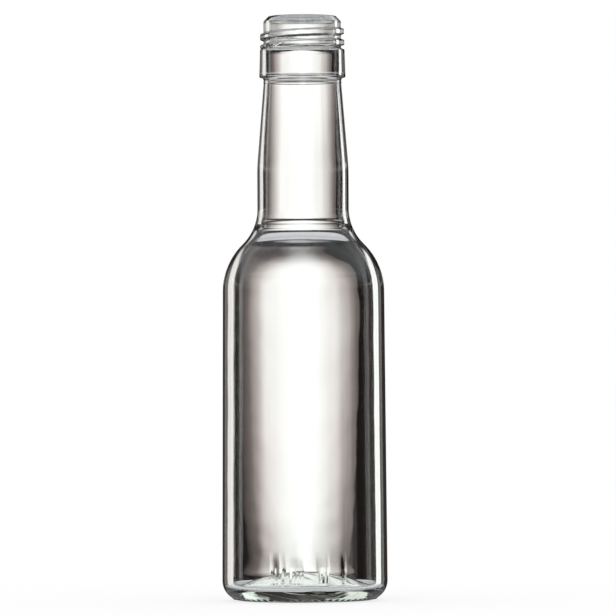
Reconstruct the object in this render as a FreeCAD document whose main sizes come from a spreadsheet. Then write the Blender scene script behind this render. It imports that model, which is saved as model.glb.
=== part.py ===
import FreeCAD, Part
import Sketcher
import math
import os

# A small clear glass wine bottle with a screw finish and no closure: one blown piece of glass.
#
# The glass is one solid of revolution about Z, in millimetres. It stands on the bearing ring
# round its punt, with the origin at the centre of that ring. The outside and the cavity are
# two outlines of the same kind: heel, tapered wall, convex shoulder, concave neck foot,
# straight neck, a gentle bend and a cone. Both hang from the mouth, so finish, neck and
# shoulder keep their sizes, and the straight body takes what is left of the height.

NODE = "bottle"

SIZES = [
    ("overall_height", 191.3, "bearing ring to mouth"),
    ("body_diameter", 54.1, "widest, at the top of the heel"),
    ("body_taper", 0.6, "radius lost between heel and shoulder"),
    ("heel_radius", 6.5, "round between the wall and the bearing ring"),
    ("bearing_width", 2.0, "flat ring that the bottle stands on"),
    ("bearing_round", 1.0, "round between the bearing ring and the punt"),
    ("punt_height", 4.7, "hollow under the base, at its centre"),
    ("shoulder_radius", 21.8, "convex round of the shoulder"),
    ("neck_foot_radius", 16.4, "concave round between shoulder and neck"),
    ("neck_flare", 2.25, "radius of the straight neck beyond the finish"),
    ("neck_straight", 10.7, "length of the straight neck"),
    ("neck_bend_radius", 70.0, "bend between the straight neck and its cone"),
    ("neck_cone", 32.2, "height of bend and cone, up to the collar"),
    ("finish_height", 20.1, "underside of the collar to mouth"),
    ("finish_diameter", 25.4, "root of the screw thread"),
    ("collar_height", 9.6, "ring under the thread"),
    ("collar_projection", 1.43, "collar beyond the finish, at its foot"),
    ("collar_draft", 0.28, "radius that the collar loses towards its top"),
    ("collar_chamfer", 0.9, "top edge of the collar"),
    ("collar_edge_round", 0.3, "bottom edge of the collar"),
    ("collar_undercut", 1.0, "round between the neck and the collar"),
    ("lip_round", 2.0, "outer edge of the mouth"),
    ("mouth_round", 0.3, "inner edge of the mouth"),
    ("body_wall", 3.45, "glass of the body"),
    ("neck_wall", 1.95, "glass of the straight neck"),
    ("finish_wall", 2.0, "glass at the root of the thread"),
    ("base_thickness", 4.75, "glass over the top of the punt"),
    ("heel_thickness", 4.4, "glass over the bearing ring"),
    ("cavity_heel_radius", 1.8, "round at the foot of the cavity"),
    ("cavity_foot_radius", 2.5, "tight round where the cavity's shoulder turns up into the neck"),
    ("cavity_drop", 9.0, "how far the cavity's neck foot lies below the outer one"),
    ("bore_depth", 10.8, "straight bore below the mouth"),
    ("mouth_clearance", 2.0, "how far the cavity's cut runs past the mouth"),
]

# Heights and radii of the outside, each worked out from the sheet.
OUTSIDE = {
    "heel_radius": "Sizes.heel_radius",
    "heel_across": "Sizes.body_diameter / 2 - Sizes.heel_radius",
    "heel_height": "Sizes.heel_radius",
    "shoulder_radius": "Sizes.shoulder_radius",
    "shoulder_across": "Sizes.body_diameter / 2 - Sizes.body_taper - Sizes.shoulder_radius",
    "foot_radius": "Sizes.neck_foot_radius",
    "neck_radius": "Sizes.finish_diameter / 2 + Sizes.neck_flare",
    "neck_top": "Sizes.overall_height - Sizes.finish_height - Sizes.neck_cone",
    "neck_foot": "Sizes.overall_height - Sizes.finish_height - Sizes.neck_cone - Sizes.neck_straight",
    "bend_radius": "Sizes.neck_bend_radius",
    "cone_radius": "Sizes.finish_diameter / 2",
    "cone_top": "Sizes.overall_height - Sizes.finish_height",
}

# The same for the cavity: the outside less the walls. Its neck runs straight down to a tight
# round, so the glass is thickest where the neck leaves the shoulder.
CAVITY = {
    "heel_radius": "Sizes.cavity_heel_radius",
    "heel_across": "Sizes.body_diameter / 2 - Sizes.body_wall - Sizes.cavity_heel_radius",
    "heel_height": "Sizes.heel_thickness + Sizes.cavity_heel_radius",
    "shoulder_radius": "Sizes.shoulder_radius - Sizes.body_wall",
    "shoulder_across": OUTSIDE["shoulder_across"],
    "foot_radius": "Sizes.cavity_foot_radius",
    "neck_radius": OUTSIDE["neck_radius"] + " - Sizes.neck_wall",
    "neck_top": OUTSIDE["neck_top"],
    "neck_foot": OUTSIDE["neck_foot"] + " - Sizes.cavity_drop",
    "bend_radius": "Sizes.neck_bend_radius",
    "cone_radius": "Sizes.finish_diameter / 2 - Sizes.finish_wall",
    "cone_top": "Sizes.overall_height - Sizes.bore_depth",
}

START, END, CENTRE = 1, 2, 3
ORIGIN = (-1, 1)
AXIS = -2


def make_sheet(document):
    """The driving dimensions: name, value and meaning, one row each."""
    sheet = document.addObject("Spreadsheet::Sheet", "Sizes")
    for row, (name, value, meaning) in enumerate(SIZES, start=1):
        sheet.set(f"A{row}", name)
        sheet.set(f"B{row}", str(value))
        sheet.set(f"C{row}", meaning)
        sheet.setAlias(f"B{row}", name)
    document.recompute()
    return sheet


class Outline:
    """A closed outline of lines and arcs in the XZ plane: radius across, height up."""

    def __init__(self, body, sheet, name):
        self.sheet = sheet
        self.sketch = body.newObject("Sketcher::SketchObject", name)
        plane = next(item for item in body.Origin.OriginFeatures if item.Role == "XZ_Plane")
        self.sketch.AttachmentSupport = (plane, [""])
        self.sketch.MapMode = "FlatFace"

    def line(self, start, end):
        """A straight edge between two points."""
        segment = Part.LineSegment(FreeCAD.Vector(*start, 0), FreeCAD.Vector(*end, 0))
        return self.sketch.addGeometry(segment)

    def arc(self, centre, radius, first, last):
        """An arc that runs anticlockwise from one angle to another, in radians."""
        circle = Part.Circle(FreeCAD.Vector(*centre, 0), FreeCAD.Vector(0, 0, 1), radius)
        return self.sketch.addGeometry(Part.ArcOfCircle(circle, first, last))

    def rule(self, kind, *elements):
        """A geometric constraint, such as Vertical, Coincident or Tangent."""
        self.sketch.addConstraint(Sketcher.Constraint(kind, *elements))

    def size(self, name, expression, kind, *elements):
        """A dimension bound to the sheet."""
        value = self.sheet.evalExpression(expression)
        index = self.sketch.addConstraint(Sketcher.Constraint(kind, *elements, value))
        self.sketch.renameConstraint(index, name)
        self.sketch.setExpression("Constraints." + name, expression)

    def across(self, name, expression, *point):
        """Distance of a point from the axis."""
        self.size(name, expression, "DistanceX", *ORIGIN, *point)

    def height(self, name, expression, *point):
        """Height of a point above the bearing ring."""
        self.size(name, expression, "DistanceY", *ORIGIN, *point)

    def revolve(self, body, kind, name):
        """Turn the outline about the axis, as a Revolution or a Groove."""
        feature = body.newObject("PartDesign::" + kind, name)
        feature.Profile = self.sketch
        feature.ReferenceAxis = (self.sketch, ["V_Axis"])
        feature.Angle = 360
        return feature


def on_circle(centre, radius, angle):
    """The point of a circle at an angle."""
    return (centre[0] + radius * math.cos(angle), centre[1] + radius * math.sin(angle))


def draw_side(outline, rules, heel_start):
    """Draw heel, wall, shoulder, neck and cone, each tangent to the next.

    rules maps each size to its expression, and heel_start is the angle at which the heel's
    arc begins. Returns the heel's arc, the cone and the point at the cone's top.
    """
    at = {name: outline.sheet.evalExpression(text) for name, text in rules.items()}

    # Centres: the shoulder's arc touches the neck foot's arc on the line between them.
    heel = (at["heel_across"], at["heel_height"])
    foot = (at["neck_radius"] + at["foot_radius"], at["neck_foot"])
    reach = at["shoulder_radius"] + at["foot_radius"]
    drop = math.sqrt(reach ** 2 - (foot[0] - at["shoulder_across"]) ** 2)
    shoulder = (at["shoulder_across"], foot[1] - drop)
    bend = (at["neck_radius"] - at["bend_radius"], at["neck_top"])
    top = (at["cone_radius"], at["cone_top"])

    # Angles at which the straight stretches leave their arcs.
    rise = math.atan2(shoulder[1] - heel[1], shoulder[0] - heel[0])
    lean = (at["heel_radius"] - at["shoulder_radius"]) / math.dist(heel, shoulder)
    wall_angle = rise - math.acos(lean)
    meet_angle = math.atan2(foot[1] - shoulder[1], foot[0] - shoulder[0])
    aim = math.atan2(top[1] - bend[1], top[0] - bend[0])
    cone_angle = aim - math.acos(at["bend_radius"] / math.dist(bend, top))

    heel_arc = outline.arc(heel, at["heel_radius"], heel_start, wall_angle)
    wall = outline.line(
        on_circle(heel, at["heel_radius"], wall_angle),
        on_circle(shoulder, at["shoulder_radius"], wall_angle),
    )
    shoulder_arc = outline.arc(shoulder, at["shoulder_radius"], wall_angle, meet_angle)
    foot_arc = outline.arc(foot, at["foot_radius"], math.pi, math.pi + meet_angle)
    neck = outline.line((at["neck_radius"], foot[1]), (at["neck_radius"], bend[1]))
    bend_arc = outline.arc(bend, at["bend_radius"], 0.0, cone_angle)
    cone = outline.line(on_circle(bend, at["bend_radius"], cone_angle), top)

    outline.rule("Tangent", heel_arc, END, wall, START)
    outline.rule("Tangent", wall, END, shoulder_arc, START)
    outline.rule("Tangent", shoulder_arc, END, foot_arc, END)
    outline.rule("Tangent", foot_arc, START, neck, START)
    outline.rule("Tangent", neck, END, bend_arc, START)
    outline.rule("Tangent", bend_arc, END, cone, START)
    outline.rule("Vertical", neck)

    outline.size("heel_radius", rules["heel_radius"], "Radius", heel_arc)
    outline.across("heel_across", rules["heel_across"], heel_arc, CENTRE)
    outline.size("shoulder_radius", rules["shoulder_radius"], "Radius", shoulder_arc)
    outline.across("shoulder_across", rules["shoulder_across"], shoulder_arc, CENTRE)
    outline.size("foot_radius", rules["foot_radius"], "Radius", foot_arc)
    outline.across("neck_radius", rules["neck_radius"], neck, START)
    outline.height("neck_foot", rules["neck_foot"], neck, START)
    outline.height("neck_top", rules["neck_top"], neck, END)
    outline.size("bend_radius", rules["bend_radius"], "Radius", bend_arc)
    outline.across("cone_radius", rules["cone_radius"], cone, END)
    outline.height("cone_top", rules["cone_top"], cone, END)
    return heel_arc, cone, top


def close_at_top(outline, cone, top, name, expression):
    """Run the side straight up from the cone and back to the axis. Returns the axis edge."""
    level = outline.sheet.evalExpression(expression)
    side = outline.line(top, (top[0], level))
    mouth = outline.line((top[0], level), (0.0, level))
    outline.rule("Coincident", cone, END, side, START)
    outline.rule("Coincident", side, END, mouth, START)
    outline.rule("Vertical", side)
    outline.rule("Horizontal", mouth)
    outline.rule("PointOnObject", mouth, END, AXIS)
    outline.height(name, expression, mouth, END)
    return mouth


def outside_blank(body, sheet):
    """The outside of the bottle without its collar, as solid glass."""
    outline = Outline(body, sheet, "outside_outline")
    heel_arc, cone, top = draw_side(outline, OUTSIDE, -math.pi / 2)
    base = outline.line((0.0, 0.0), (sheet.evalExpression(OUTSIDE["heel_across"]), 0.0))
    outline.rule("Coincident", base, START, *ORIGIN)
    outline.rule("Horizontal", base)
    outline.rule("Tangent", base, END, heel_arc, START)
    mouth = close_at_top(outline, cone, top, "mouth_height", "Sizes.overall_height")
    axis = outline.line((0.0, outline.sheet.overall_height), (0.0, 0.0))
    outline.rule("Coincident", mouth, END, axis, START)
    outline.rule("Coincident", axis, END, base, START)
    return outline.revolve(body, "Revolution", "blank")


def collar(body, sheet):
    """The tapered ring under the thread, as a disc that the cavity opens later."""
    foot_across = "Sizes.finish_diameter / 2 + Sizes.collar_projection"
    top_across = foot_across + " - Sizes.collar_draft"
    foot_level = "Sizes.overall_height - Sizes.finish_height"
    top_level = foot_level + " + Sizes.collar_height"
    corners = [
        (0.0, sheet.evalExpression(foot_level)),
        (sheet.evalExpression(foot_across), sheet.evalExpression(foot_level)),
        (sheet.evalExpression(top_across), sheet.evalExpression(top_level)),
        (0.0, sheet.evalExpression(top_level)),
    ]
    outline = Outline(body, sheet, "collar_outline")
    edges = [outline.line(corners[i], corners[(i + 1) % 4]) for i in range(4)]
    for i in range(4):
        outline.rule("Coincident", edges[i], END, edges[(i + 1) % 4], START)
    underside, side, upside, axis = edges
    outline.rule("Horizontal", underside)
    outline.rule("Horizontal", upside)
    outline.rule("PointOnObject", underside, START, AXIS)
    outline.rule("PointOnObject", upside, END, AXIS)
    outline.across("foot_across", foot_across, side, START)
    outline.height("foot_level", foot_level, side, START)
    outline.across("top_across", top_across, side, END)
    outline.height("top_level", top_level, side, END)
    return outline.revolve(body, "Revolution", "collar")


def punt(body, sheet):
    """The shallow domed hollow under the base, inside the bearing ring."""
    rim_across = OUTSIDE["heel_across"] + " - Sizes.bearing_width"
    rim = sheet.evalExpression(rim_across)
    rise = sheet.punt_height
    radius = (rim ** 2 + rise ** 2) / (2 * rise)
    rim_angle = math.acos(rim / radius)
    outline = Outline(body, sheet, "punt_outline")
    dome = outline.arc((0.0, rise - radius), radius, rim_angle, math.pi / 2)
    base = outline.line((0.0, 0.0), (rim, 0.0))
    axis = outline.line((0.0, rise), (0.0, 0.0))
    outline.rule("Coincident", base, START, *ORIGIN)
    outline.rule("Horizontal", base)
    outline.rule("Coincident", base, END, dome, START)
    outline.rule("PointOnObject", dome, CENTRE, AXIS)
    outline.rule("Coincident", dome, END, axis, START)
    outline.rule("Coincident", axis, END, base, START)
    outline.rule("Vertical", axis)
    outline.across("rim_across", rim_across, base, END)
    outline.height("punt_height", "Sizes.punt_height", dome, END)
    return outline.revolve(body, "Groove", "punt")


def cavity(body, sheet):
    """The blown hollow: a domed floor over the punt, then the same side as the outside."""
    crown_height = "Sizes.punt_height + Sizes.base_thickness"
    crown = sheet.evalExpression(crown_height)
    heel_radius = sheet.evalExpression(CAVITY["heel_radius"])
    heel_across = sheet.evalExpression(CAVITY["heel_across"])
    above = sheet.evalExpression(CAVITY["heel_height"]) - crown

    # The floor's dome touches the heel's arc from outside, so its radius follows from both.
    dome_radius = (heel_across ** 2 + above ** 2 - heel_radius ** 2) / (2 * (heel_radius - above))
    touch = math.atan2(above + dome_radius, heel_across)
    outline = Outline(body, sheet, "cavity_outline")
    heel_arc, cone, top = draw_side(outline, CAVITY, touch - math.pi)
    floor = outline.arc((0.0, crown - dome_radius), dome_radius, touch, math.pi / 2)
    outline.rule("PointOnObject", floor, CENTRE, AXIS)
    outline.rule("Tangent", floor, START, heel_arc, START)
    outline.height("heel_height", CAVITY["heel_height"], heel_arc, CENTRE)
    outline.height("crown_height", crown_height, floor, END)

    past_mouth = "Sizes.overall_height + Sizes.mouth_clearance"
    mouth = close_at_top(outline, cone, top, "past_mouth", past_mouth)
    axis = outline.line((0.0, sheet.evalExpression(past_mouth)), (0.0, crown))
    outline.rule("Coincident", mouth, END, axis, START)
    outline.rule("Coincident", axis, END, floor, END)
    outline.rule("Vertical", axis)
    return outline.revolve(body, "Groove", "cavity")


def round_edge(feature, across, level):
    """The name of the feature's circular edge at a radius and height."""
    near = 1e-4
    for index, edge in enumerate(feature.Shape.Edges, start=1):
        if edge.Degenerated or not isinstance(edge.Curve, Part.Circle):
            continue
        circle = edge.Curve
        if abs(circle.Radius - across) < near and abs(circle.Center.z - level) < near:
            return f"Edge{index}"
    raise ValueError(f"{feature.Label} has no edge of radius {across:.3f} at height {level:.3f}")


def dress_edge(body, base, kind, name, across, level, value):
    """Fillet or chamfer one circular edge. across, level and value are expressions."""
    sheet = body.Document.Sizes
    body.Document.recompute()
    edge = round_edge(base, sheet.evalExpression(across), sheet.evalExpression(level))
    feature = body.newObject("PartDesign::" + kind, name)
    feature.Base = (base, [edge])
    feature.setExpression("Radius" if kind == "Fillet" else "Size", value)
    return feature


def dress_glass(body, base):
    """Round the mouth and the bearing ring, and shape the collar's three edges."""
    finish = "Sizes.finish_diameter / 2"
    mouth = "Sizes.overall_height"
    collar_foot = "Sizes.overall_height - Sizes.finish_height"
    collar_side = finish + " + Sizes.collar_projection"
    lip = "min(Sizes.lip_round; Sizes.finish_wall - 1.5 * Sizes.mouth_round)"
    undercut = "min(Sizes.collar_undercut; Sizes.collar_projection - 1.3 * Sizes.collar_edge_round)"
    steps = [
        ("Fillet", "lip_round", finish, mouth, lip),
        ("Fillet", "mouth_round", finish + " - Sizes.finish_wall", mouth, "Sizes.mouth_round"),
        ("Chamfer", "collar_chamfer", collar_side + " - Sizes.collar_draft",
         collar_foot + " + Sizes.collar_height", "Sizes.collar_chamfer"),
        ("Fillet", "collar_edge_round", collar_side, collar_foot, "Sizes.collar_edge_round"),
        ("Fillet", "collar_undercut", finish, collar_foot, undercut),
        ("Fillet", "bearing_round", OUTSIDE["heel_across"] + " - Sizes.bearing_width", "0",
         "Sizes.bearing_round"),
    ]
    for kind, name, across, level, value in steps:
        base = dress_edge(body, base, kind, name, across, level, value)
    return base


def make_bottle(document, sheet):
    """The whole bottle, feature by feature. Returns the body."""
    body = document.addObject("PartDesign::Body", NODE)
    body.Label = NODE
    blank = outside_blank(body, sheet)
    ring = collar(body, sheet)
    hollow_below = punt(body, sheet)
    hollow_inside = cavity(body, sheet)
    document.recompute()
    volumes = [step.Shape.Volume for step in (blank, ring, hollow_below, hollow_inside)]
    if not (volumes[1] > volumes[0] and volumes[2] < volumes[1] and volumes[3] < volumes[2]):
        raise ValueError(f"a feature added or cut nothing: {volumes}")
    body.Tip = dress_glass(body, hollow_inside)
    body.Placement = FreeCAD.Placement()
    return body


def check(document, body):
    """Stop if any object failed, or if the bottle isn't one valid solid."""
    for item in document.Objects:
        if "Invalid" in item.State or "Error" in item.State:
            raise ValueError(f"{item.Label} failed: {item.State}")
        if item.isDerivedFrom("Sketcher::SketchObject") and item.solve() != 0:
            raise ValueError(f"{item.Label} has no solution")
    shape = body.Shape
    if shape.isNull() or not shape.isValid() or len(shape.Solids) != 1:
        raise ValueError(f"{body.Label} isn't one valid solid")


def main():
    document = FreeCAD.newDocument("WineBottle")
    sheet = make_sheet(document)
    body = make_bottle(document, sheet)
    document.recompute()
    check(document, body)

    os.makedirs("parts", exist_ok=True)
    body.Shape.exportStep(f"parts/{body.Label}.step")
    box = body.Shape.optimalBoundingBox()
    print(f"{body.Label}: {box.XLength:.2f} x {box.YLength:.2f} x {box.ZLength:.2f} mm,",
          f"{body.Shape.Volume / 1000:.2f} cm3 of glass")


main()
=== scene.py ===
import bpy
import math
import numpy as np
from mathutils import Matrix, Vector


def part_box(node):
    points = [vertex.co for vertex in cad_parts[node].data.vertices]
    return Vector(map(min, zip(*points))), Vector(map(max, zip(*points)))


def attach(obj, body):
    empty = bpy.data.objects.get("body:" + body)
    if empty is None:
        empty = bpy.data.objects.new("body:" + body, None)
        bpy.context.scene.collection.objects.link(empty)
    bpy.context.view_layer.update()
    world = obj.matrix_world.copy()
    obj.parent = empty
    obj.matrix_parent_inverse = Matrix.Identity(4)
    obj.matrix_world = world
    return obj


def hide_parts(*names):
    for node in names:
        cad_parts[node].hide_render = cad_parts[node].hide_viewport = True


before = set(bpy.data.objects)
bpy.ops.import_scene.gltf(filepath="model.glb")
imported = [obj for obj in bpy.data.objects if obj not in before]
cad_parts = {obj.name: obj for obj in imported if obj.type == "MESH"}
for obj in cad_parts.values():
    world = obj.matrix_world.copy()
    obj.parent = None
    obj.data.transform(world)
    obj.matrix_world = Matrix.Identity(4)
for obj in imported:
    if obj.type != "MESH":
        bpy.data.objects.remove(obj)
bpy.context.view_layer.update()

# %% [markdown]
# ## A small clear glass wine bottle
#
# The object is one blown piece of clear glass: a round body, a steep shoulder, a neck that
# narrows towards a screw finish, and a shallow hollow, the punt, under the base. It is empty
# and has no closure. The model that was just loaded holds its size and carries it in motion.
# This lesson makes the glass that is seen, and it takes the size from that model.

# %% The size of the bottle
MM = 0.001
low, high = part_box("bottle")
height = (high[2] - low[2]) / MM
body_radius = (high[0] - low[0]) / 2 / MM
print(f"bottle: {height:.1f} mm tall, {2 * body_radius:.1f} mm wide")

# %% [markdown]
# ### The camera
#
# A long lens stands well back, a little below the middle of the bottle, and looks up by less
# than a degree, so that the mouth and the base are both seen almost from the side. The frame
# is also turned by a hair about the line of sight. That turn has to come before the others, so
# the camera is placed by a product of matrices and not by three separate angles.

# %% The camera
camera_data = bpy.data.cameras.new("camera")
camera_data.sensor_width = 36.0
camera_data.lens = 319.3
camera_data.clip_end = 40.0
camera = bpy.data.objects.new("camera", camera_data)
bpy.context.scene.collection.objects.link(camera)
stand = Matrix.Translation((1.44 * MM, -1790.0 * MM, 74.4 * MM))
look_up = Matrix.Rotation(math.radians(90.68), 4, "X")
lean = Matrix.Rotation(math.radians(-0.3), 4, "Z")
camera.matrix_world = stand @ look_up @ lean
bpy.context.scene.camera = camera
bpy.context.scene.view_settings.view_transform = "Standard"
print("camera at", [round(v, 3) for v in camera.matrix_world.translation], "lens", camera_data.lens)

# %% [markdown]
# ### Light for clear glass
#
# Clear glass has hardly any colour of its own. What is seen is the room, bent by the glass, so
# the room is the most important part of this picture. A bright screen stands behind the
# bottle, which makes it clear in the middle. The screen is kept small, so its dark surround
# draws the dark edges. A bright panel on each side lights the thin outer lines.
#
# Real panels could be modelled as lit planes. They would have to be repeated for every side
# from which the bottle may be looked at. Here they are painted on the world instead, as a
# function of two angles: the direction round the bottle, and the height above the horizon. What
# is seen through the glass repeats every quarter turn, so the body looks alike from all sides.

# %% Tools for the world's nodes
world = bpy.data.worlds.new("studio")
bpy.context.scene.world = world
world.use_nodes = True
sky = world.node_tree
sky.nodes.clear()


def join(tree, value, socket):
    """Sets a socket to a number or a colour, or links another node's output to it."""
    if isinstance(value, bpy.types.NodeSocket):
        tree.links.new(value, socket)
    else:
        socket.default_value = value


def calculate(operation, *values):
    """One step of arithmetic on the world's angles."""
    made = sky.nodes.new("ShaderNodeMath")
    made.operation = operation
    for socket, value in zip(made.inputs, values):
        join(sky, value, socket)
    return made.outputs["Value"]


def warm(light):
    """The colour of a level of light: the dimmer, the warmer."""
    return (light, light * (0.81 + 0.18 * light), light * (0.76 + 0.22 * light), 1.0)


def neutral(light):
    """The same level in all three colours."""
    return (light, light, light, 1.0)


def graph(value, stops, colour=neutral):
    """A ramp of light along an angle, from pairs of degrees and light."""
    first, last = stops[0][0], stops[-1][0]
    share = calculate("MULTIPLY_ADD", value, math.degrees(1.0) / (last - first), -first / (last - first))
    made = sky.nodes.new("ShaderNodeValToRGB")
    sky.links.new(share, made.inputs["Fac"])
    elements = made.color_ramp.elements
    while len(elements) < len(stops):
        elements.new(0.5)
    for element, (degrees, light) in zip(elements, stops):
        element.position = (degrees - first) / (last - first)
    for element, (degrees, light) in zip(elements, stops):
        element.color = colour(light)
    return made.outputs["Color"]


def blend(share, one, other):
    """Mixes two colours."""
    made = sky.nodes.new("ShaderNodeMix")
    made.data_type = "RGBA"
    join(sky, share, made.inputs["Factor"])
    join(sky, one, made.inputs["A"])
    join(sky, other, made.inputs["B"])
    return made.outputs["Result"]


# %% The two angles of a direction
toward = sky.nodes.new("ShaderNodeTexCoord")
axes = sky.nodes.new("ShaderNodeSeparateXYZ")
sky.links.new(toward.outputs["Generated"], axes.inputs["Vector"])
azimuth = calculate("ARCTAN2", axes.outputs["X"], axes.outputs["Y"])
elevation = calculate("ARCSINE", axes.outputs["Z"])
eighth_turn = math.radians(45.0)
from_screen = calculate("WRAP", azimuth, eighth_turn, -eighth_turn)

# %% [markdown]
# The screen is brightest in its middle and falls off towards its edges, faster on one side. It
# is a round glow, so it narrows towards its lower edge and ends a few degrees below the
# horizon. The dark gap under it draws the dark arch at the top of the body. Dim light is a
# little warmer than bright light, as it is round a lit screen, so the colour follows the level.
# The side panels keep their place, so they are mixed in after the glow has been narrowed.

# %% The lit screen behind the glass
glow_width = graph(elevation, [
    (-3.0, 0.25), (-2.4, 0.42), (-2.0, 0.58), (-1.5, 0.74), (-0.3, 0.98), (0.8, 1.1), (3.5, 1.15),
    (12.0, 1.15)])
along_screen = calculate("DIVIDE", from_screen, glow_width)
glow = graph(along_screen, [
    (-45.0, 0.012), (-16.0, 0.012), (-14.0, 0.05), (-12.0, 0.09), (-10.0, 0.12), (-8.4, 0.17),
    (-6.6, 0.35), (-5.2, 0.52), (-4.1, 0.71), (-3.2, 0.84), (-2.0, 0.95), (-1.0, 1.0), (1.0, 1.0),
    (2.3, 0.86), (2.95, 0.76), (3.75, 0.62), (4.7, 0.45), (6.0, 0.27), (7.25, 0.165), (8.6, 0.12),
    (8.9, 0.008), (45.0, 0.008)], warm)
panel_share = graph(from_screen, [
    (-45.0, 1.0), (-29.0, 1.0), (-27.0, 0.0), (33.0, 0.0), (35.0, 1.0), (45.0, 1.0)])
panels = graph(from_screen, [(-45.0, 0.8), (-1.0, 0.8), (1.0, 1.0), (45.0, 1.0)], warm)
screen = blend(panel_share, glow, panels)
screen_foot, screen_top = -3.35, 8.0
screen_ends = graph(elevation, [
    (-90.0, 0.02), (screen_foot, 0.02), (-3.2, 0.10), (-3.0, 0.32), (-2.8, 0.48), (-2.5, 0.65),
    (-2.2, 0.83), (-1.8, 0.98), (-1.4, 1.0), (3.8, 1.0), (4.4, 0.7), (5.3, 0.4), (screen_top, 0.03),
    (90.0, 0.03)])
black = neutral(0.0)
seen_through = blend(screen_ends, black, screen)
print("screen from", screen_foot, "to", screen_top, "degrees of elevation")

# %% [markdown]
# Light that the glass mirrors, on its skin or inside its wall, comes from all round. The side
# panels are what it should catch. The screens of the other sides would only lay ghost lines
# over the dark bands, so they are left out of mirrored light. This graph runs the whole way
# round and doesn't repeat, so the fine bright lines are at their best from the front. Light
# Path's Glossy Depth counts the mirrorings on the way, and so tells the two apart.

# %% The side panels in mirrored light
mirrored_light = graph(azimuth, [
    (-180.0, 0.8), (-174.0, 0.8), (-172.0, 0.015), (-134.0, 0.015), (-131.0, 0.8), (-119.0, 0.8),
    (-116.0, 0.015), (-50.0, 0.015), (-48.0, 0.8), (-30.0, 0.8), (-26.0, 0.03), (-6.0, 0.05), (0.0, 0.08),
    (6.0, 0.03), (33.0, 0.012), (35.0, 1.0), (48.0, 1.0), (50.0, 0.015), (101.0, 0.015), (103.0, 0.8),
    (115.0, 0.8), (117.0, 0.015), (167.0, 0.015), (169.0, 0.8), (180.0, 0.8)], warm)
panel_top = graph(elevation, [(-90.0, 1.0), (32.0, 1.0), (40.0, 0.03), (90.0, 0.03)])
seen_mirrored = blend(panel_top, black, mirrored_light)
path = sky.nodes.new("ShaderNodeLightPath")
is_mirrored = calculate("MINIMUM", path.outputs["Glossy Depth"], 1.0)
room = blend(is_mirrored, seen_through, seen_mirrored)

# %% [markdown]
# Under the gap lies the pale sheet that the bottle stands on, a little blue as a shaded white
# is. A thin hazy strip crosses the screen near its top. A pale ceiling hangs over everything,
# but only light that has gone deep through the glass sees it bright. That is the light that
# comes up through the punt. On the shoulder the same ceiling would fog the dark arch.

# %% Sheet, haze and ceiling
sheet_through = graph(elevation, [
    (-90.0, 0.6), (-14.0, 0.6), (-10.0, 1.0), (-7.0, 1.0), (-6.3, 0.0), (90.0, 0.0)])
sheet_mirrored = graph(elevation, [(-90.0, 0.75), (-14.0, 0.75), (-7.0, 0.0), (90.0, 0.0)])
sheet_colour = (0.56, 0.56, 0.59, 1.0)
haze_colour = (0.95, 0.93, 0.91, 1.0)
haze_share = graph(elevation, [
    (-90.0, 0.0), (3.05, 0.0), (3.25, 0.35), (4.2, 0.35), (4.8, 0.0), (90.0, 0.0)])
hazy_room = blend(haze_share, room, haze_colour)
sheet_share = blend(is_mirrored, sheet_through, sheet_mirrored)
under_and_around = blend(sheet_share, hazy_room, sheet_colour)
surfaces_passed = 2.5
deep_in_glass = calculate("GREATER_THAN", path.outputs["Transmission Depth"], surfaces_passed)
ceiling = blend(deep_in_glass, neutral(0.03), neutral(0.78))
ceiling_share = graph(elevation, [(-90.0, 0.0), (9.0, 0.0), (14.0, 1.0), (90.0, 1.0)])
surroundings = blend(ceiling_share, under_and_around, ceiling)
print("room:", len(sky.nodes), "nodes")

# %% [markdown]
# The camera itself sees plain white around the bottle. Only rays that have met the glass see
# the studio. A mirrored ray that never entered the glass is weaker, because the real skin
# carries only a faint gloss.

# %% White for the eye, the studio for the glass
never_entered = calculate("LESS_THAN", path.outputs["Transmission Depth"], 0.5)
on_the_skin = calculate("MULTIPLY", is_mirrored, never_entered)
studio_strength = 1.25
lost_on_the_skin = 0.55
studio_light = calculate("MULTIPLY_ADD", on_the_skin, -lost_on_the_skin, studio_strength)
met_glass = calculate("MAXIMUM", path.outputs["Is Glossy Ray"], path.outputs["Is Transmission Ray"])
white = sky.nodes.new("ShaderNodeBackground")
white.inputs["Color"].default_value = neutral(1.0)
studio = sky.nodes.new("ShaderNodeBackground")
join(sky, surroundings, studio.inputs["Color"])
join(sky, studio_light, studio.inputs["Strength"])
choose = sky.nodes.new("ShaderNodeMixShader")
join(sky, met_glass, choose.inputs["Fac"])
sky.links.new(white.outputs["Background"], choose.inputs[1])
sky.links.new(studio.outputs["Background"], choose.inputs[2])
sky_output = sky.nodes.new("ShaderNodeOutputWorld")
sky.links.new(choose.outputs["Shader"], sky_output.inputs["Surface"])
print("world:", len(sky.nodes), "nodes")

# %% [markdown]
# ### The floor
#
# A wide sheet of white paper. It lies a tenth of a millimetre under the glass, so the two
# never fight for the same place. To the eye three quarters of its light is its own glow, which
# keeps it close to the white round it, and the rest still carries the bottle's soft shadow.
# The glass doesn't see it, because the world already holds the sheet as the glass should.

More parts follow.
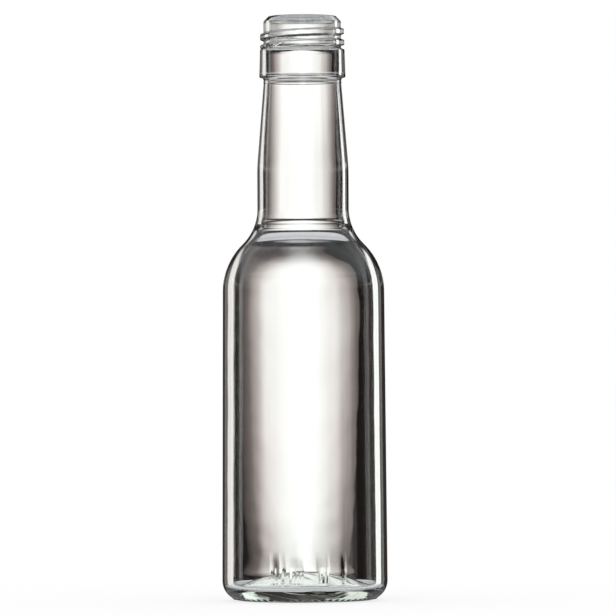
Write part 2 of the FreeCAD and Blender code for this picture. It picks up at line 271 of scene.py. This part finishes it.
# %% The floor
bpy.ops.object.select_all(action="DESELECT")
bpy.ops.mesh.primitive_plane_add(size=80.0, location=(0.0, 0.0, -0.1 * MM))
floor = bpy.context.object
floor.name = "floor"
floor.visible_glossy = False
floor.visible_transmission = False
paper = bpy.data.materials.new("white_paper")
paper.use_nodes = True
paper_tree = paper.node_tree
paper_shader = paper_tree.nodes["Principled BSDF"]
paper_shader.inputs["Base Color"].default_value = (1.0, 1.0, 1.0, 1.0)
paper_shader.inputs["Roughness"].default_value = 1.0
paper_shader.inputs["Specular IOR Level"].default_value = 0.0
eye = paper_tree.nodes.new("ShaderNodeLightPath")
paper_glow = paper_tree.nodes.new("ShaderNodeEmission")
own_glow = 0.75
glow_share = paper_tree.nodes.new("ShaderNodeMath")
glow_share.operation = "MULTIPLY"
paper_tree.links.new(eye.outputs["Is Camera Ray"], glow_share.inputs[0])
glow_share.inputs[1].default_value = own_glow
paper_mix = paper_tree.nodes.new("ShaderNodeMixShader")
paper_tree.links.new(glow_share.outputs["Value"], paper_mix.inputs["Fac"])
paper_tree.links.new(paper_shader.outputs["BSDF"], paper_mix.inputs[1])
paper_tree.links.new(paper_glow.outputs["Emission"], paper_mix.inputs[2])
paper_tree.links.new(paper_mix.outputs["Shader"], paper_tree.nodes["Material Output"].inputs["Surface"])
floor.data.materials.append(paper)
print("floor:", round(floor.dimensions.x), "m wide")

# %% [markdown]
# ### Half an outline
#
# Like the mould that shaped it, the bottle is a figure of revolution. Its skin is one closed
# line turned round the axis: under the base, up the outside, over the lip, down the inside and
# across the floor of the cavity. Outside and inside belong to the same line, because clear
# glass shows every surface that light passes. A bottle made of an outer tube and an inner tube
# would bend the light wrongly wherever the two don't meet.
#
# The line is drawn in millimetres, as pairs of radius and height, from straights and arcs that
# meet smoothly.

# %% Straights and arcs
def straight(start, end, steps):
    """Points of a straight run, after its first one."""
    shares = [k / steps for k in range(1, steps + 1)]
    return [(start[0] + (end[0] - start[0]) * s, start[1] + (end[1] - start[1]) * s) for s in shares]


def arc(centre, radius, start, end, steps):
    """Points of an arc between two angles in degrees, after its first one."""
    angles = [math.radians(start + (end - start) * k / steps) for k in range(1, steps + 1)]
    return [(centre[0] + radius * math.cos(a), centre[1] + radius * math.sin(a)) for a in angles]


def bend_to(start, end, bend_steps, cone_steps):
    """A gentle bend from an upright line into a cone that leads to a point."""
    bend_radius = 70.0
    bend = (start[0] - bend_radius, start[1])
    aim = math.atan2(end[1] - bend[1], end[0] - bend[0])
    cone_angle = math.degrees(aim - math.acos(bend_radius / math.dist(bend, end)))
    points = arc(bend, bend_radius, 0.0, cone_angle, bend_steps)
    return points + straight(points[-1], end, cone_steps)


def soften(points, low_level, high_level, times):
    """Eases a stretch of a line: each point moves towards the middle of its neighbours."""
    for _ in range(times):
        eased = list(points)
        for k in range(1, len(points) - 1):
            before, here, after = points[k - 1:k + 2]
            if low_level < here[1] < high_level:
                eased[k] = tuple((before[i] + 2 * here[i] + after[i]) / 4 for i in (0, 1))
        points = eased
    return points


def side(heel, heel_radius, shoulder, shoulder_radius, foot_radius, neck_radius, neck_top, cone_end, steps):
    """Heel, wall, shoulder, neck foot, straight neck and cone, from the bottom up."""
    foot_across = neck_radius + foot_radius
    reach = shoulder_radius + foot_radius
    foot = (foot_across, shoulder[1] + math.sqrt(reach ** 2 - (foot_across - shoulder[0]) ** 2))
    rise = math.atan2(shoulder[1] - heel[1], shoulder[0] - heel[0])
    lean_in = math.acos((heel_radius - shoulder_radius) / math.dist(heel, shoulder))
    wall_angle = math.degrees(rise - lean_in)
    turn = math.degrees(math.atan2(foot[1] - shoulder[1], foot[0] - shoulder[0]))
    points = arc(heel, heel_radius, -90.0, wall_angle, steps[0])
    points += straight(points[-1], arc(shoulder, shoulder_radius, 0.0, wall_angle, 1)[0], steps[1])
    points += arc(shoulder, shoulder_radius, wall_angle, turn, steps[2])
    points += arc(foot, foot_radius, 180.0 + turn, 180.0, steps[3])
    points += straight(points[-1], (neck_radius, neck_top), steps[4])
    return points + bend_to(points[-1], cone_end, steps[5], steps[6])


# %% [markdown]
# The body tapers by a little over half a millimetre up to the shoulder, so that it leaves its
# mould. Shoulder and neck foot are two rounds that touch. A real mould eases the place where
# they meet, so the line is softened there once. Under the base the punt is a shallow dome, and
# a short bevel leads from its rim to the flat ring that the bottle stands on.

# %% The punt and the outside, up to the collar
heel_round = 6.5
heel_across = body_radius - heel_round
taper = 0.6
shoulder_round = 21.8
foot_round = 16.4
shoulder = (body_radius - taper - shoulder_round, 100.98)
thread_root = 12.7
neck_radius = thread_root + 2.25
collar_foot = height - 20.1
neck_top = collar_foot - 32.2
outside = side((heel_across, heel_round), heel_round, shoulder, shoulder_round, foot_round,
               neck_radius, neck_top, (thread_root + 0.05, collar_foot - 2.3),
               (18, 18, 26, 20, 5, 5, 12))
eased_from, eased_to = 106.0, 126.0
outside = soften(outside, eased_from, eased_to, 1)
punt_depth = 4.7
punt_rim = 18.33
rim_level = 0.35
punt_round = (punt_rim ** 2 + (punt_depth - rim_level) ** 2) / (2 * (punt_depth - rim_level))
rim_angle = math.degrees(math.asin(punt_rim / punt_round))
under = [(0.0, punt_depth)] + arc((0.0, punt_depth - punt_round), punt_round, 90.0, 90.0 - rim_angle, 12)
under += straight(under[-1], (18.9, 0.0), 2) + straight((18.9, 0.0), (heel_across, 0.0), 4)
print("outside from", [round(v, 1) for v in outside[0]], "to", [round(v, 1) for v in outside[-1]])

# %% [markdown]
# Under the collar a hair line runs round the neck, where the neck ring met the mould. The
# collar stands proud, with a chamfer on top, and the plain lip is rounded over.

# %% The collar, the finish and the lip
parting = collar_foot - 1.6
collar = [(thread_root + 0.05, parting - 0.25),
          (thread_root + 0.13, parting),
          (thread_root + 0.04, parting + 0.25)]
collar += straight(collar[-1], (thread_root + 0.02, collar_foot - 1.0), 1)
collar += arc((thread_root + 1.02, collar_foot - 1.0), 1.0, 180.0, 90.0, 5)
collar += arc((thread_root + 1.12, collar_foot + 0.3), 0.3, -90.0, 0.0, 3)
collar += straight(collar[-1], (thread_root + 1.17, collar_foot + 8.9), 6)
collar += straight(collar[-1], (thread_root + 1.1, collar_foot + 9.1), 1)
collar += straight(collar[-1], (thread_root + 0.3, collar_foot + 9.45), 2)
collar += [(thread_root, collar_foot + 9.55)]
lip_round = 2.0
finish = straight(collar[-1], (thread_root, height - lip_round), 46)
finish += arc((thread_root - 0.6, height - lip_round), 0.6, 0.0, 40.0, 3)
finish += arc((thread_root - lip_round + 0.1, height - 0.6), 0.6, 40.0, 90.0, 3)
bore = 10.7
finish += arc((bore + 0.3, height - 0.3), 0.3, 90.0, 180.0, 3)
first_inside = len(under + outside + collar + finish)

# %% [markdown]
# Inside, nothing was moulded: the glass was blown. It is thick in the heel and the body, and
# it thins smoothly through the shoulder towards the neck. So the inside isn't drawn from sizes
# of its own but as a lining, one wall inside the outside. At the foot of the neck the glass
# left a slight ring, which draws the fine dark lines that cross the bottle there.

# %% How thick the wall is
wall = 3.45
neck_wall = 1.72
thin_from, thin_to = 93.2, 122.6
late, gentle = 2.24, 0.88
foot_ring, foot_ring_level, foot_ring_half = 0.20, 123.2, 0.9


def lining(centre, radius, side_of_centre, start, end, steps):
    """Points one wall inside an arc of the outside, where the wall thins upwards."""
    points = []
    for k in range(1, steps + 1):
        angle = math.radians(start + (end - start) * k / steps)
        level = centre[1] + radius * math.sin(angle)
        share = min(max((level - thin_from) / (thin_to - thin_from), 0.0), 1.0) ** late
        thick = wall - (wall - neck_wall) * (share * share * (3.0 - 2.0 * share)) ** gentle
        thick += foot_ring * math.exp(-((level - foot_ring_level) / foot_ring_half) ** 2)
        deep = radius + side_of_centre * thick
        points.append((centre[0] + deep * math.cos(angle), centre[1] + deep * math.sin(angle)))
    return points


neck_foot = (neck_radius + foot_round, neck_top - 10.7)
shoulder_turn = math.degrees(math.atan2(neck_foot[1] - shoulder[1], neck_foot[0] - shoulder[0]))
print(f"wall: {wall} mm in the body, {neck_wall} mm in the neck")

# %% [markdown]
# The inside starts at the edge of the cavity's floor and climbs to the mouth. Behind the collar
# the bore is a little wider. Above it the mouth keeps the print of the plunger, a narrow bore
# that ends in a small step. Short pieces stand at both ends of each step, so that the smooth
# shading turns the corner there and doesn't spread over the long faces beside it.

# %% The inside, from the heel up
inner_heel = 1.8
inner_floor = 4.4
inner_across = body_radius - wall - inner_heel
plunger_end = collar_foot + 9.2
behind_collar = 12.1
inside = arc((inner_across, inner_floor + inner_heel), inner_heel, -90.0, -0.4, 6)
inside += straight(inside[-1], lining(shoulder, shoulder_round, -1.0, 0.0, 0.0, 1)[0], 38)
inside += lining(shoulder, shoulder_round, -1.0, 0.0, shoulder_turn, 30)
inside += lining(neck_foot, foot_round, 1.0, 180.0 + shoulder_turn, 180.0, 22)
inside = soften(inside, 106.0, 122.0, 2)
inside += straight(inside[-1], (neck_radius - neck_wall, neck_top), 6)
inside += bend_to(inside[-1], (11.68, collar_foot - 1.2), 6, 10)
inside += straight(inside[-1], (11.7, collar_foot - 0.9), 1)
inside += straight(inside[-1], (behind_collar, collar_foot - 0.2), 2)
inside += straight(inside[-1], (behind_collar, collar_foot), 1)
inside += straight(inside[-1], (behind_collar, plunger_end - 0.9), 4)
inside += straight(inside[-1], (behind_collar, plunger_end - 0.6), 1)
inside += straight(inside[-1], (12.0, plunger_end - 0.3), 1)
inside += straight(inside[-1], (bore + 0.1, plunger_end + 0.1), 3)
inside += straight(inside[-1], (bore, plunger_end + 0.4), 1)
inside += straight(inside[-1], (bore, height - 0.3), 8)[:-1]
inside.reverse()

# %% [markdown]
# The cavity's floor is a dome, as the punt under it is, so the base stays about as thick in the
# middle as at its rim. The dome starts where it touches the small round of the heel.

# %% The floor of the cavity, and the whole line
crown = 9.45
drop = inner_floor + inner_heel - crown
crown_round = (inner_across ** 2 + drop ** 2 - inner_heel ** 2) / (2 * (inner_heel - drop))
touch = math.degrees(math.atan2(drop + crown_round, inner_across))
bottom = [(inner_across, inner_floor)]
bottom += arc((inner_across, inner_floor + inner_heel), inner_heel, -90.0, touch - 180.0, 3)
bottom += arc((0.0, crown - crown_round), crown_round, touch, 90.0, 14)
outline = under + outside + collar + finish + inside + bottom
print("outline:", len(outline), "points,", first_inside, "of them outside")

# %% [markdown]
# ### Spinning the skin
#
# A plane is added and merged to one vertex, and that vertex is extruded along the outline. The
# spin tool then turns the line once round the axis. Where the last turn meets the first, and
# on the axis itself, the spin leaves doubles, and they are merged. A vertex group remembers
# which points lie inside, because the next steps treat the two sides of the glass differently.

# %% Draw the line
bpy.ops.object.select_all(action="DESELECT")
bpy.ops.mesh.primitive_plane_add(size=10 * MM)
glass = bpy.context.object
glass.name = "glass"
bpy.ops.object.mode_set(mode="EDIT")
bpy.ops.mesh.select_all(action="SELECT")
bpy.ops.mesh.merge(type="CENTER")
bpy.ops.transform.translate(value=(outline[0][0] * MM, 0.0, outline[0][1] * MM))
for here, there in zip(outline, outline[1:]):
    step = ((there[0] - here[0]) * MM, 0.0, (there[1] - here[1]) * MM)
    bpy.ops.mesh.extrude_region_move(TRANSFORM_OT_translate={"value": step})
bpy.ops.object.mode_set(mode="OBJECT")
inner_skin = glass.vertex_groups.new(name="inner_skin")
inner_skin.add(list(range(first_inside, len(outline))), 1.0, "REPLACE")
print("line of", len(glass.data.vertices), "vertices")

# %% Turn it round the axis
round_steps = 256
bpy.ops.object.mode_set(mode="EDIT")
bpy.ops.mesh.select_all(action="SELECT")
bpy.ops.mesh.spin(steps=round_steps, angle=2 * math.pi, center=(0, 0, 0), axis=(0, 0, 1))
bpy.ops.mesh.select_all(action="SELECT")
bpy.ops.mesh.remove_doubles(threshold=0.002 * MM)
bpy.ops.mesh.normals_make_consistent(inside=False)
bpy.ops.mesh.faces_shade_smooth()
bpy.ops.object.mode_set(mode="OBJECT")
print("skin:", len(glass.data.vertices), "vertices,", len(glass.data.polygons), "faces")

# %% [markdown]
# ### Finer faces where the detail is small
#
# The marks on the heel and the stipple of the bearing ring are smaller than the faces there,
# so only those faces are subdivided. They are picked in code, by where their middles lie.

# %% Subdivide the heel's front and the bearing ring
def select_faces(wanted):
    """Selects the faces whose middle passes a test of radius, turn and height."""
    bpy.ops.object.mode_set(mode="EDIT")
    bpy.ops.mesh.select_mode(type="FACE")
    bpy.ops.mesh.select_all(action="DESELECT")
    bpy.ops.object.mode_set(mode="OBJECT")
    for face in glass.data.polygons:
        x, y, z = [v / MM for v in face.center]
        face.select = wanted(math.hypot(x, y), math.degrees(math.atan2(x, -y)), z)
    bpy.ops.object.mode_set(mode="EDIT")


mark_low, mark_high, mark_spread = 5.2, 8.6, 48.0
heel_skin = 26.6
select_faces(lambda r, turn, z: r > heel_skin and mark_low < z < mark_high and abs(turn) < mark_spread)
bpy.ops.mesh.subdivide(number_cuts=3)
ring_from, ring_to, ring_level = 20.4, 24.2, 0.8
select_faces(lambda r, turn, z: ring_from < r < ring_to and z < ring_level)
bpy.ops.mesh.subdivide(number_cuts=1)
bpy.ops.object.mode_set(mode="OBJECT")
glass.data.calc_loop_triangles()
print("after subdividing:", len(glass.data.loop_triangles), "triangles")

# %% [markdown]
# ### Working the skin
#
# The screw thread is a low round ridge that climbs round the finish. A ridge made on its own
# and pushed into the neck would leave a hidden face inside the clear glass, and that would
# show. So the thread is raised out of the skin itself: each vertex is moved outwards by how
# near it lies to the helix. The same way then gives all the small marks.

# %% Read the skin
places = np.empty(len(glass.data.vertices) * 3)
glass.data.vertices.foreach_get("co", places)
places = places.reshape(-1, 3) / MM
radius = np.hypot(places[:, 0], places[:, 1])
around = np.arctan2(places[:, 1], places[:, 0])
from_front = np.degrees(np.arctan2(places[:, 0], -places[:, 1]))
level = places[:, 2].copy()
inner = np.zeros(len(places), dtype=bool)
for vertex in glass.data.vertices:
    inner[vertex.index] = any(link.weight > 0.5 for link in vertex.groups)


def push(amount):
    """Moves vertices away from the axis, in millimetres."""
    places[:, 0] += amount * np.cos(around)
    places[:, 1] += amount * np.sin(around)


# %% [markdown]
# A common screw finish has a little under two turns of thread. Each vertex looks at the laps
# of the helix above and below it, and the ridge fades out at both ends.

# %% The screw thread
pitch = 3.6
turns = 1.75
thread_start = math.radians(-225.0)
thread_foot = collar_foot + 9.2
ridge_half = 1.2
flank = 0.4
thread_height = 1.1
on_finish = ~inner & (level > collar_foot + 9.5) & (radius > thread_root - 0.1)
for lap in range(-1, 3):
    along = (around - thread_start) / (2 * math.pi) + lap
    away = np.abs(level - thread_foot - pitch * along)
    tips = np.clip(along / 0.1, 0, 1) * np.clip((turns - along) / 0.15, 0, 1)
    climb = np.clip((ridge_half - away) / flank, 0, 1)
    ridge = climb * climb * (3 - 2 * climb)
    push(np.where(on_finish, thread_height * ridge * tips, 0.0))
crest = np.hypot(places[:, 0], places[:, 1])[on_finish].max()
print(f"thread: {turns} turns, {2 * crest:.1f} mm across")

# %% [markdown]
# The heel carries a row of round dots, as moulds have them to tell their cavity. Each is a low
# dome. Their heights are drawn from a fixed seed, so they are the same each time.

# %% Dots on the heel
draw = np.random.default_rng(7)
groups = [(-31.0, 3), (-19.0, 4), (-9.0, 6), (14.0, 4), (24.0, 4)]
on_heel = ~inner & (radius > 26.0) & (level > 5.0) & (level < 9.0)
dot_radius = 0.55
dot_height = 0.34
dots = 0
for middle, count in groups:
    for k in range(count):
        turn = middle + (k - (count - 1) / 2) * 2.5
        dot_level = 6.9 + draw.uniform(-0.8, 0.8)
        gap = np.hypot(np.radians(from_front - turn) * radius, level - dot_level)
        dome = np.sqrt(np.clip(1 - (gap / dot_radius) ** 2, 0, 1))
        push(np.where(on_heel, dot_height * dome, 0.0))
        dots += 1
print(dots, "dots on the heel")

# %% [markdown]
# The ring that the bottle stands on is stippled, so that the hot glass doesn't slide and the
# scratches of use don't weaken it. The stipple is a row of small crescents.

# %% The stipple of the bearing ring
crescents = 60
crescent_height = 0.33
ring_middle = 22.3
bow_depth = 1.2
crescent_half = 0.45
ring_pitch = 360.0 / crescents
in_cell = (from_front + draw.uniform(0, ring_pitch)) % ring_pitch / ring_pitch - 0.5
on_ring = ~inner & (level < 0.85) & (radius > 20.3) & (radius < 24.3)
bow = radius - ring_middle - bow_depth * np.cos(np.pi * in_cell)
crescent = np.clip(1 - np.abs(bow) / crescent_half, 0, 1) * np.clip(1.3 - np.abs(in_cell) * 3, 0, 1)
places[:, 2] -= np.where(on_ring, crescent_height * crescent * np.clip(level / 0.2, 0, 1), 0.0)
print(crescents, "crescents under the base")

# %% [markdown]
# The thick glass of the base cools last and unevenly. Its two faces keep low ripples, and they
# bend the light into the streaks that are seen over the heel. A few plain waves that cross
# each other are enough. The long ones are higher than the short ones.

# %% Ripples of the base, above and below
floor_ripple = 0.06
punt_ripple = 0.05
lie = np.zeros(len(places))
longest = 14.0
for length in (5.0, 7.0, 10.0, longest):
    heading, phase = draw.uniform(0, 2 * math.pi, 2)
    along_lie = places[:, 0] * math.cos(heading) + places[:, 1] * math.sin(heading)
    lie += np.sin(2 * math.pi * along_lie / length + phase) * length / longest
floor_side = inner & (level < 10.0) & (radius < 22.0)
punt_side = ~inner & (level > 0.3) & (level < 4.8) & (radius < 18.5)
places[:, 2] += np.where(floor_side, floor_ripple * lie, 0.0)
places[:, 2] += np.where(punt_side, punt_ripple * lie, 0.0)
print(f"base ripples: up to {floor_ripple * np.abs(lie[floor_side]).max():.2f} mm")

# %% [markdown]
# Two mould halves leave a seam on each side, a ridge as thin as a hair, from the base up to the
# line under the collar.

# %% The mould seams
seam_half = 1.5
seam_height = 0.04
for seam in (64.0, -116.0):
    off_seam = np.abs((from_front - seam + 180.0) % 360.0 - 180.0)
    on_wall = ~inner & (level > 1.0) & (level < parting - 0.3)
    push(np.where(on_wall, seam_height * np.clip(1 - off_seam / seam_half, 0, 1), 0.0))
print("two mould seams")

# %% [markdown]
# A blown wall is never quite even. Long waves run round the inside and up it. They die out in
# the base and in the mouth, which the plunger shaped. The cavity also sits a hair off the
# middle, and the plunger's step sways a little, as such a step does.

# %% Waves of the blown inside
orders = [2, 3, 4, 5, 7]
wave_height = 0.026
waves = np.zeros(len(places))
for order in orders:
    for length in (22.0, 37.0, 61.0):
        phase, slide = draw.uniform(0, 2 * math.pi, 2)
        waves += np.sin(order * around + phase) * np.sin(2 * np.pi * level / length + slide) / order
calm = np.interp(level, [0, 12, 40, 60, 95, 108, 120, 128, 165, 172, 180],
                 [0, 0, 0.3, 1, 1, 0.3, 0.1, 0.5, 0.5, 0.3, 0])
push(np.where(inner, wave_height * waves * calm, 0.0))
off_centre = np.interp(level, [0, 110, 140, 163], [-0.06, -0.06, -0.05, 0.0])
places[:, 0] += np.where(inner, off_centre, 0.0)
step_height = 0.07
step_sway = sum(np.sin(order * around + draw.uniform(0, 2 * math.pi)) for order in (1, 3, 8, 13))
near_step = np.exp(-((level - plunger_end) / 0.6) ** 2)
places[:, 2] += np.where(inner, step_height * step_sway * near_step, 0.0)
print(f"waves: up to {wave_height * np.abs(waves * calm)[inner].max():.2f} mm")

# %% Write the skin
glass.data.vertices.foreach_set("co", (places * MM).ravel())
glass.data.update()
span = places.max(axis=0) - places.min(axis=0)
print(f"glass: {span[0]:.1f} x {span[1]:.1f} x {span[2]:.1f} mm")

# %% [markdown]
# ### The glass
#
# Flint glass is clear, with a trace of green that only shows where light runs a long way
# through it: in the heel, along the collar and down the edges. So the green isn't painted on
# the surface but absorbed in the volume. The skin is fire-polished: almost perfectly smooth,
# with a few hazy patches from handling and long low ripples from the cooling glass.

# %% The glass
clear = bpy.data.materials.new("clear_glass")
clear.use_nodes = True
tree = clear.node_tree
shader = tree.nodes["Principled BSDF"]
shader.inputs["IOR"].default_value = 1.52
shader.inputs["Transmission Weight"].default_value = 1.0
where = tree.nodes.new("ShaderNodeTexCoord")


def clouds(scale, detail, low_value, high_value):
    """Soft clouds of noise through the piece, as a number between two values."""
    noise = tree.nodes.new("ShaderNodeTexNoise")
    tree.links.new(where.outputs["Object"], noise.inputs["Vector"])
    noise.inputs["Scale"].default_value = scale
    noise.inputs["Detail"].default_value = detail
    spread = tree.nodes.new("ShaderNodeMapRange")
    tree.links.new(noise.outputs["Fac"], spread.inputs["Value"])
    spread.inputs["From Min"].default_value = 0.35
    spread.inputs["From Max"].default_value = 0.75
    spread.inputs["To Min"].default_value = low_value
    spread.inputs["To Max"].default_value = high_value
    return spread.outputs["Result"]


tree.links.new(clouds(60.0, 3.0, 0.0, 0.012), shader.inputs["Roughness"])
ripples = tree.nodes.new("ShaderNodeBump")
ripples.inputs["Strength"].default_value = 0.25
ripples.inputs["Distance"].default_value = 0.05 * MM
tree.links.new(clouds(90.0, 1.0, 0.0, 1.0), ripples.inputs["Height"])
tree.links.new(ripples.outputs["Normal"], shader.inputs["Normal"])
tint = tree.nodes.new("ShaderNodeMix")
tint.data_type = "RGBA"
tree.links.new(clouds(25.0, 1.0, 0.0, 1.0), tint.inputs["Factor"])
tint.inputs["A"].default_value = (1.0, 1.0, 1.0, 1.0)
tint.inputs["B"].default_value = (0.975, 0.99, 0.98, 1.0)
tree.links.new(tint.outputs["Result"], shader.inputs["Base Color"])
inside_glass = tree.nodes.new("ShaderNodeVolumeAbsorption")
inside_glass.inputs["Color"].default_value = (0.62, 0.95, 0.65, 1.0)
inside_glass.inputs["Density"].default_value = 7.5
tree.links.new(inside_glass.outputs["Volume"], tree.nodes["Material Output"].inputs["Volume"])
glass.data.materials.append(clear)
print("glass:", len(tree.nodes), "nodes")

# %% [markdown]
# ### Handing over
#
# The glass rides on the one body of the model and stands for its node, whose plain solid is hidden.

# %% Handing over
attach(glass, "root")
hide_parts("bottle")
